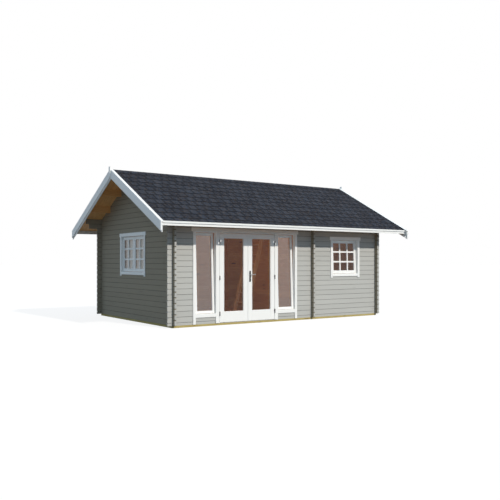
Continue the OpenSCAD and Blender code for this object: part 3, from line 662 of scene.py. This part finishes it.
for where, side in SIDES.items():
    tabs = Part()
    step = ROW_STEP * math.cos(PITCH)
    edges = [FASCIA_Y]
    while edges[-1] > step:
        edges.append(ROW_EDGE * math.cos(PITCH) - (len(edges) - 1) * step)
    for row, edge in enumerate(edges):
        above = edges[row + 1] if row + 1 < len(edges) else 0
        start = TAB_START - 0.5 * TAB_W * (row % 2)
        for k in range(int(2 * ROOF_X / TAB_W) + 3):
            x0 = max(start + k * TAB_W, -ROOF_X)
            x1 = min(start + (k + 1) * TAB_W - SLOT, ROOF_X)
            if x1 - x0 < LEAST_TAB:
                continue
            far = edge - random.uniform(0, RAGGED)
            lift = random.uniform(0, TAB_LIFT)
            low_far = ROOF_BOARD_T + TAB_GAP + TAB_T + lift
            low_above = ROOF_BOARD_T + TAB_GAP / 2
            tab = shingle_sheet(x0, x1, side, above - TUCK, far, low_above, low_far)
            tabs.loft(tab, "tab")
        # The unslotted strips: one that the row above covers, one that shows in the slots
        strips = (
            (max(above - HEADLAP, 0), above, ROOF_BOARD_T, low_above),
            (above, edge - LAP_SHORT, ROOF_BOARD_T, ROOF_BOARD_T),
        )
        for strip in strips:
            tabs.loft(shingle_sheet(-ROOF_X, ROOF_X, side, *strip), "lap")
    tabs.build("shingle_rows_" + where, "cabin", "shingle", SHINGLES, ["shingles_" + where])

# Folded caps along the ridge, each half covered by the next
caps = Part()
CAP_X = ROOF_X - 0.046
CAP_STEP = 0.145
CAP_REACH = 0.125
CAP_LIFT = 0.0035
LEAST_CAP = 0.02
for k in range(int(2 * CAP_X / CAP_STEP) + 1):
    x0 = -CAP_X + k * CAP_STEP
    x1 = min(x0 + 2 * CAP_STEP, CAP_X)
    if x1 - x0 < LEAST_CAP:
        continue
    for side in SIDES.values():
        rings = []
        for x, lift in ((x0, CAP_LIFT), (x1, 0.0)):
            base = ROOF_T + lift
            outline = slope_outline(side, 0, CAP_REACH, base - 0.001, base + 0.0025)
            rings.append([(x, *p) for p in outline])
        caps.loft(rings, "tab")
caps.build("ridge_caps", "cabin", "shingle", SHINGLES)

# Barge boards: the board, the strip that covers the shingles' ends, and the lath behind
BARGE_T = 0.020
BARGE_H = 0.145
LATH_SHOW = 0.035
COVER_W = 0.066
COVER_T = 0.012
for end_name, end in (("left", -1), ("right", 1)):
    for where, side in SIDES.items():
        barge = Part()
        main_low = ROOF_T - BARGE_H
        layers = [
            (0, BARGE_FAR, main_low, ROOF_T, ROOF_X, ROOF_X + BARGE_T),
            (0, BARGE_FAR, ROOF_T, ROOF_T + COVER_T,
             ROOF_X + BARGE_T - COVER_W, ROOF_X + BARGE_T),
            (0, BOARD_FAR, main_low - LATH_SHOW, 0, ROOF_X - BARGE_T, ROOF_X),
            (FASCIA_Y, BARGE_FAR, main_low - LATH_SHOW, 0, ROOF_X - BARGE_T, ROOF_X),
        ]
        for near, far, low, high, x0, x1 in layers:
            outline = slope_outline(side, near, far, low, high)
            barge.prism(outline, 0, *mirrored(0, end, x0, x1), where, bevel=FINE_BEVEL)
        node = f"barge_{end_name}_{where}"
        white(barge, f"{node}_boards", replaces=[node])

# Fascias: a board with a narrower lath in front of it
FASCIA_H = 0.094
FASCIA_LATH_H = 0.044
for where, side in SIDES.items():
    fascia = Part()
    face = FASCIA_Y - FASCIA_T
    top = UNDER_RIDGE + ROOF_BOARD_T * RISE
    low = top - face * SLOPE - FASCIA_H
    lath_low = top - face * SLOPE - FASCIA_LATH_H
    for y0, y1, z in ((BOARD_FAR, face, low), (face, FASCIA_Y, lath_low)):
        outline = [(side * y0, z), (side * y1, z),
                   (side * y1, top - y1 * SLOPE), (side * y0, top - y0 * SLOPE)]
        fascia.prism(outline, 0, -ROOF_X, ROOF_X, "x", bevel=0.0015)
    white(fascia, f"fascia_{where}_boards", replaces=["fascia_" + where])

apex = Part()
low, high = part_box("apex_boards")
APEX_T = 0.018
for x in (low.x, high.x - APEX_T):
    apex.board((x, low.y, low.z), (x + APEX_T, high.y, high.z), bevel=BEVEL)
white(apex, "apex_boards_planed", replaces=["apex_boards"])

# ---------------------------------------------------------------- floor boards
FLOOR_BOARDS = 38
boards = Part()
low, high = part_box("floor")
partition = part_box("partition_header")
width = (high.y - low.y) / FLOOR_BOARDS
for x0, x1 in ((low.x, partition[0].x), (partition[1].x, high.x)):
    for k in range(FLOOR_BOARDS):
        y = low.y + k * width
        boards.board((x0, y, low.z), (x1, y + width, high.z), bevel=0.0015)
boards.build("floor_planks", "cabin", "pine", PINE, ["floor"])

# ---------------------------------------------------------------- entrance
head_low, head_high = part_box("entrance_head")
post_low, post_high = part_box("door_posts")
ENTRANCE_X = (head_low.x + head_high.x) / 2
HEAD_Z = head_low.z
SILL_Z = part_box("sidelight_frames")[0].z
# Distances from the middle of the entrance to its side, to the sidelight and to the post
UNIT = head_high.x - ENTRANCE_X
LIGHT = post_high.x - ENTRANCE_X
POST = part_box("door_threshold")[1].x - ENTRANCE_X

frames = Part()
frames.board(head_low, head_high, bevel=BEVEL)
white(frames, "entrance_head_planed", replaces=["entrance_head"])
frames = Part()
for side in (-1, 1):
    x0, x1 = mirrored(ENTRANCE_X, side, POST, LIGHT)
    frames.board((x0, post_low.y, post_low.z), (x1, post_high.y, post_high.z), BEVEL)
white(frames, "door_posts_planed", replaces=["door_posts"])
frames = Part()
for side in (-1, 1):
    x0, x1 = mirrored(ENTRANCE_X, side, LIGHT, UNIT)
    frames.board((x0, FRONT_Y, SILL_Z), (x1, FRONT_Y + FRAME_D, SILL_Z + JAMB), BEVEL)
    x0, x1 = mirrored(ENTRANCE_X, side, UNIT - JAMB, UNIT)
    frames.board((x0, FRONT_Y, SILL_Z + JAMB), (x1, FRONT_Y + FRAME_D, HEAD_Z), BEVEL)
white(frames, "sidelight_frames_planed", replaces=["sidelight_frames"])

trim_low, trim_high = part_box("entrance_trim")
HEAD_TRIM_Z = trim_high.z - HEAD_TRIM_H
SILL_TRIM_H = 0.072
SILL_TRIM_DROP = 0.034
trim = Part()
trim.board((trim_low.x, trim_low.y, HEAD_TRIM_Z), trim_high, BEVEL)
outer = trim_high.x - HEAD_TRIM_OVER - ENTRANCE_X
sill_z = SILL_Z - SILL_TRIM_DROP
for side in (-1, 1):
    for near, far in ((outer - TRIM_W, outer), (POST, LIGHT)):
        x0, x1 = mirrored(ENTRANCE_X, side, near, far)
        trim.board((x0, trim_low.y, trim_low.z), (x1, trim_high.y, HEAD_TRIM_Z), BEVEL)
    x0, x1 = mirrored(ENTRANCE_X, side, LIGHT, outer - TRIM_W)
    trim.board((x0, trim_low.y, sill_z), (x1, trim_high.y, sill_z + SILL_TRIM_H), BEVEL)
white(trim, "entrance_trim_boards", replaces=["entrance_trim"])


# ---------------------------------------------------------------- doors
def glazing_beads(part, x0, x1, z0, z1, outer_y, inner_y, glass_y):
    """Beads round a pane, on both faces; glass_y is the middle of the glass."""
    for near, far in ((outer_y, glass_y - GLASS_T / 2), (glass_y + GLASS_T / 2, inner_y)):
        for x in (x0, x1 - BEAD):
            part.board((x, near, z0), (x + BEAD, far, z1), FINE_BEVEL, grain="z")
        for z in (z0, z1 - BEAD):
            part.board((x0 + BEAD, near, z), (x1 - BEAD, far, z + BEAD), FINE_BEVEL, grain="x")


STILE = 0.105
TOP_RAIL = 0.095
BOTTOM_RAIL = 0.217
for side_name in ("left", "right"):
    low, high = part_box(side_name + "_door")
    leaf = Part()
    rail_x = low.x + STILE, high.x - STILE
    pane_z = low.z + BOTTOM_RAIL, high.z - TOP_RAIL
    for x in (low.x, rail_x[1]):
        leaf.board((x, low.y, low.z), (x + STILE, high.y, high.z), FINE_BEVEL, grain="z")
    for z0, z1 in ((low.z, pane_z[0]), (pane_z[1], high.z)):
        leaf.board((rail_x[0], low.y, z0), (rail_x[1], high.y, z1), FINE_BEVEL, grain="x")
    middle = (low.y + high.y) / 2
    outer_y, inner_y = low.y + BEAD_INSET, high.y - BEAD_INSET
    glazing_beads(leaf, *rail_x, *pane_z, outer_y, inner_y, middle)
    white(leaf, side_name + "_door_leaf", side_name + "_leaf", [side_name + "_door"])

# Screws and the lock cylinder with its keyhole, on both lock plates
SCREW_R = 0.0038
SCREW_END = 0.012
CYLINDER_R = 0.0085
CYLINDER_Z = 0.075
KEYHOLE_HALF_W = 0.0012
KEYHOLE_HALF_H = 0.007
low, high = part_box("lock_plates")
fittings = Part()
mid_x = (low.x + high.x) / 2
for plate_y, out in ((low.y, -1), (high.y, 1)):
    for z in (low.z + SCREW_END, high.z - SCREW_END):
        ring = circle(mid_x, z, SCREW_R, 12)
        fittings.prism(ring, 1, *mirrored(plate_y, out, -0.0005, 0.0012), "screw", bevel=0.0005)
    z = low.z + CYLINDER_Z
    ring = circle(mid_x, z, CYLINDER_R, 20)
    fittings.prism(ring, 1, *mirrored(plate_y, out, -0.0005, 0.003), "screw", bevel=0.0008)
    corners = ((-1, -1), (1, -1), (1, 1), (-1, 1))
    ring = [(mid_x + u * KEYHOLE_HALF_W, z + v * KEYHOLE_HALF_H) for u, v in corners]
    fittings.prism(ring, 1, *mirrored(plate_y, out, 0.0028, 0.0034), "key", bevel=0.0001)
fittings.build("lock_fittings", "right_leaf", "lock_black", {"screw": LEVER, "key": LOCK})

# ---------------------------------------------------------------- windows
BAR_W = 0.038
BAR_INSET = 0.005


def sash(w, h, rim, columns, rows):
    """A sash standing on z = 0 with its outer face at y = 0, and its glazing bars."""
    part = Part()
    inner = w / 2 - rim
    for x in (-w / 2, inner):
        part.board((x, 0, 0), (x + rim, SASH_T, h), FINE_BEVEL, grain="z")
    for z in (0, h - rim):
        part.board((-inner, 0, z), (inner, SASH_T, z + rim), FINE_BEVEL, grain="x")
    middle = SASH_T / 2
    z0, z1 = rim, h - rim
    glazing_beads(part, -inner, inner, z0, z1, BEAD_INSET, SASH_T - BEAD_INSET, middle)
    step_x = (2 * inner + BAR_W) / columns
    step_z = (z1 - z0 + BAR_W) / rows
    in_front = (BAR_INSET, middle - GLASS_T / 2)
    behind = (middle + GLASS_T / 2, SASH_T - BAR_INSET)
    for near, far in (in_front, behind):
        bars = [-inner + k * step_x - BAR_W for k in range(1, columns)]
        for x in bars:
            part.board((x, near, z0), (x + BAR_W, far, z1), BEVEL, grain="z")
        edges = [-inner, *[v for x in bars for v in (x, x + BAR_W)], inner]
        for k in range(1, rows):
            z = z0 + k * step_z - BAR_W
            for x_left, x_right in zip(edges[::2], edges[1::2]):
                part.board((x_left, near, z), (x_right, far, z + BAR_W), BEVEL, grain="x")
    return part


# Tilted sashes turn about pivots near their lower edge and inner face
PIVOT = Vector((0, SASH_T - 0.008, 0.012))
LEAN = Matrix.Translation(PIVOT) @ Matrix.Rotation(-TILT, 4, "X") @ Matrix.Translation(-PIVOT)
SASH_Y = FRONT_Y + FRAME_D - SASH_T
side_sash_w = UNIT - JAMB - LIGHT - 2 * SASH_GAP
side_sash_h = HEAD_Z - SILL_Z - JAMB - 2 * SASH_GAP
for side_name, side in (("left", -1), ("right", 1)):
    x = ENTRANCE_X + side * (LIGHT + side_sash_w / 2 + SASH_GAP)
    place = Matrix.Translation((x, SASH_Y, SILL_Z + JAMB + SASH_GAP)) @ LEAN
    white(sash(side_sash_w, side_sash_h, SASH_W, 1, 1), side_name + "_sidelight_joinery",
          side_name + "_sidelight", [side_name + "_sidelight_sash"], matrix=place)

# Middle, width between the jambs and underside of each window frame
FRONT_WINDOW = (1.818, 0.812, 1.014)
GABLE_WINDOW = (0.020, 1.210, 1.071)
WINDOW_FRAME_H = 0.902
WINDOW_HEAD = 0.060
window_sash_h = WINDOW_FRAME_H - JAMB - WINDOW_HEAD - 2 * SASH_GAP
x, w, z = FRONT_WINDOW
place = Matrix.Translation((x, SASH_Y, z + JAMB + SASH_GAP)) @ LEAN
white(sash(w - 2 * SASH_GAP, window_sash_h, WINDOW_SASH_W, 3, 3), "front_window_joinery",
      "front_window", ["front_window_sash"], matrix=place)

# The gable window is drawn like the front one and turned, grain and all
QUARTER = Matrix.Rotation(-math.pi / 2, 4, "Z")
SIDEWAYS = {"x": "y"}
y, w, z = GABLE_WINDOW
gable_sash_w = (w - 3 * SASH_GAP) / 2
gable_places = []
for where, side in SIDES.items():
    spot = (-HALF_L + FRAME_D - SASH_T, y + side * (gable_sash_w + SASH_GAP) / 2,
            z + JAMB + SASH_GAP)
    place = Matrix.Translation(spot) @ QUARTER
    white(sash(gable_sash_w, window_sash_h, WINDOW_SASH_W, 2, 3), "gable_joinery_" + where,
          "gable_window_" + where, ["gable_sash_" + where], matrix=place, grains=SIDEWAYS)
    gable_places.append((where, place))

THREADS = 5200.0


def curtain_cloth(name):
    """Sheer white net, with the weave as relief."""
    s = Shader(name)
    place = s.place()
    warp = s.math("SINE", s.math("MULTIPLY", s.place("Y"), THREADS))
    weft = s.math("SINE", s.math("MULTIPLY", s.place("Z"), THREADS))
    weave = s.math("MULTIPLY", warp, weft)
    folds = s.noise(place, scale=14.0, detail=3.0)
    tone = s.math("MULTIPLY_ADD", folds, 0.08, 0.93)
    normal = s.bump(weave, 0.0002)
    colour = s.shade(srgb(244, 245, 247), tone)
    cloth = s.add("BsdfDiffuse", {"Color": colour, "Normal": normal})
    light = s.add("BsdfTranslucent", {"Color": colour, "Normal": normal})
    sheer = s.add("MixShader", {0: 0.1, 1: cloth, 2: light})
    s.add("OutputMaterial", {"Surface": sheer})
    return s.material


CURTAIN = {"cloth": curtain_cloth("curtain_net"), "rod": LEVER}
ROD_R = 0.003


def curtain(name, body, width, top, bottom, depth, matrix, tucks):
    """A gathered net curtain and its rod, in the frame of a sash. The folds deepen on the way
    down, and the hem waves a little."""
    columns, rows = 160, 14
    mesh = bpy.data.meshes.new(name)
    points, faces = [], []
    for r in range(rows + 1):
        f = r / rows
        swing = 0.0035 + 0.0035 * f
        for c in range(columns + 1):
            u = c / columns
            x = (u - 0.5) * width
            turn = 2 * math.pi * tucks * u
            fold = math.sin(turn + 0.8 * math.sin(turn * 0.37 + 1.9))
            y = depth + swing * fold + 0.0012 * math.sin(turn * 2.3 + 3 * f)
            points.append((x, y, top + (bottom - top) * f + 0.003 * f * math.sin(turn * 0.5)))
    for r in range(rows):
        for c in range(columns):
            a = r * (columns + 1) + c
            faces.append((a, a + 1, a + columns + 2, a + columns + 1))
    mesh.from_pydata(points, [], faces)
    mesh.transform(matrix)
    mesh.materials.append(CURTAIN["cloth"])
    mesh.polygons.foreach_set("use_smooth", [True] * len(faces))
    cloth = bpy.data.objects.new(name, mesh)
    bpy.context.scene.collection.objects.link(cloth)
    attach(cloth, body)

    rod = Part()
    ring = circle(depth, top, ROD_R, 8)
    rod.prism(ring, 0, -width / 2 - 0.012, width / 2 + 0.012, "rod", bevel=0.0006)
    for side in (-1, 1):
        x = side * (width / 2 + 0.009)
        rod.board((x - 0.004, SASH_T, top - 0.006), (x + 0.004, depth + 0.004, top + 0.006),
                  0.001, grain="rod")
    bar = rod.build(name + "_rod", body, "lever_metal", CURTAIN, matrix=matrix)


front_place = Matrix.Translation((FRONT_WINDOW[0], FRONT_Y, FRONT_WINDOW[2]))
gable_place = Matrix.Translation((-HALF_L, GABLE_WINDOW[0], GABLE_WINDOW[2])) @ QUARTER
windows = (
    ("front_window", FRONT_WINDOW[1], front_place, None),
    ("gable_window", GABLE_WINDOW[1], gable_place, SIDEWAYS),
)
WINDOW_SILL_HALF_H = 0.027
WINDOW_TRIM_DROP = 0.057
for name, w, place, grains in windows:
    half = w / 2 + JAMB
    inner = w / 2
    head = WINDOW_FRAME_H - WINDOW_HEAD
    part = Part()
    for x in (-half, inner):
        part.board((x, 0, 0), (x + JAMB, FRAME_D, WINDOW_FRAME_H), BEVEL, grain="z")
    part.board((-inner, 0, 0), (inner, FRAME_D, JAMB), BEVEL, grain="x")
    part.board((-inner, 0, head), (inner, FRAME_D, WINDOW_FRAME_H), BEVEL, grain="x")
    white(part, name + "_frame", replaces=["window_frames"], matrix=place, grains=grains)
    trim = Part()
    outer = inner + TRIM_W
    reach = outer + HEAD_TRIM_OVER
    trim.board((-reach, -TRIM_T, head), (reach, 0, head + HEAD_TRIM_H), BEVEL)
    trim.board((-inner, -TRIM_T, -WINDOW_SILL_HALF_H), (inner, 0, WINDOW_SILL_HALF_H), BEVEL)
    for x in (-outer, inner):
        trim.board((x, -TRIM_T, -WINDOW_TRIM_DROP), (x + TRIM_W, 0, head), BEVEL)
    white(trim, name + "_trim_boards", replaces=["window_trim"], matrix=place, grains=grains)

CURTAIN_SIDE = 0.045
CURTAIN_TOP = 0.04
CURTAIN_FOOT = 0.05
CURTAIN_CLEAR = 0.012
for where, place in gable_places:
    curtain("curtain_" + where, "gable_window_" + where, gable_sash_w - 2 * CURTAIN_SIDE,
            window_sash_h - CURTAIN_TOP, CURTAIN_FOOT, SASH_T + CURTAIN_CLEAR, place, tucks=9)

# ---------------------------------------------------------------- ground, light and camera
# The plane reaches so far that no reflection shows its edge, and lies just under the cabin
GROUND_REACH = 900
ground = bpy.data.meshes.new("ground")
corners = [(x * GROUND_REACH, y * GROUND_REACH, -0.001)
           for x, y in ((-1, -1), (1, -1), (1, 1), (-1, 1))]
ground.from_pydata(corners, [], [(0, 1, 2, 3)])
floor = bpy.data.objects.new("ground", ground)
bpy.context.scene.collection.objects.link(floor)
s = Shader("ground")
matt = s.add("BsdfDiffuse", {"Color": (0.17, 0.165, 0.16, 1.0)})
glow = s.add("Emission", {"Color": (1.0, 1.0, 1.0, 1.0), "Strength": 0.86})
pale = s.add("AddShader", {0: matt, 1: glow})
floor_shader = s.add("MixShader", {0: s.pale_rays(), 1: matt, 2: pale})
s.add("OutputMaterial", {"Surface": floor_shader})
ground.materials.append(s.material)

# Ordinary rays get the cool fill light, and the rays that show surroundings a white backdrop
s = Shader("sky", "worlds")
fill = s.add("Background", {"Color": (0.69, 0.96, 1.24, 1.0), "Strength": 0.49})
backdrop = s.add("Background", {"Color": (1.0, 1.0, 1.0, 1.0), "Strength": 1.0})
blend = s.add("MixShader", {0: s.pale_rays(), 1: fill, 2: backdrop})
s.add("OutputWorld", {"Surface": blend})
bpy.context.scene.world = s.material

sun = bpy.data.lights.new("sun", "SUN")
sun.energy = 3.0
sun.angle = math.radians(2.0)
sun.color = (1.0, 0.935, 0.85)
lamp = bpy.data.objects.new("sun", sun)
lamp.rotation_mode = "QUATERNION"
lamp.rotation_quaternion = Vector((0.2, -1.0, 0.742)).to_track_quat("Z", "Y")
bpy.context.scene.collection.objects.link(lamp)

# A warm lamp in each room shows the timber behind the glass: their places and powers
ROOM_LAMPS = (((-1.2, -0.95, 1.9), 9.0), ((1.85, 0.2, 2.2), 3.5))
for place, energy in ROOM_LAMPS:
    bulb = bpy.data.lights.new("room_lamp", "POINT")
    bulb.energy = energy
    bulb.color = (1.0, 0.78, 0.50)
    bulb.shadow_soft_size = 0.25
    room = bpy.data.objects.new("room_lamp", bulb)
    room.location = place
    bpy.context.scene.collection.objects.link(room)

camera = bpy.data.cameras.new("camera")
camera.sensor_width = 36.0
camera.lens = 46.44
camera.shift_y = 0.0234
camera.clip_end = 200.0
viewer = bpy.data.objects.new("camera", camera)
viewer.location = (-8.944, -13.453, 1.339)
viewer.rotation_euler = (math.radians(90), 0, math.radians(-34.58))
bpy.context.scene.collection.objects.link(viewer)
bpy.context.scene.camera = viewer
bpy.context.scene.view_settings.view_transform = "Standard"
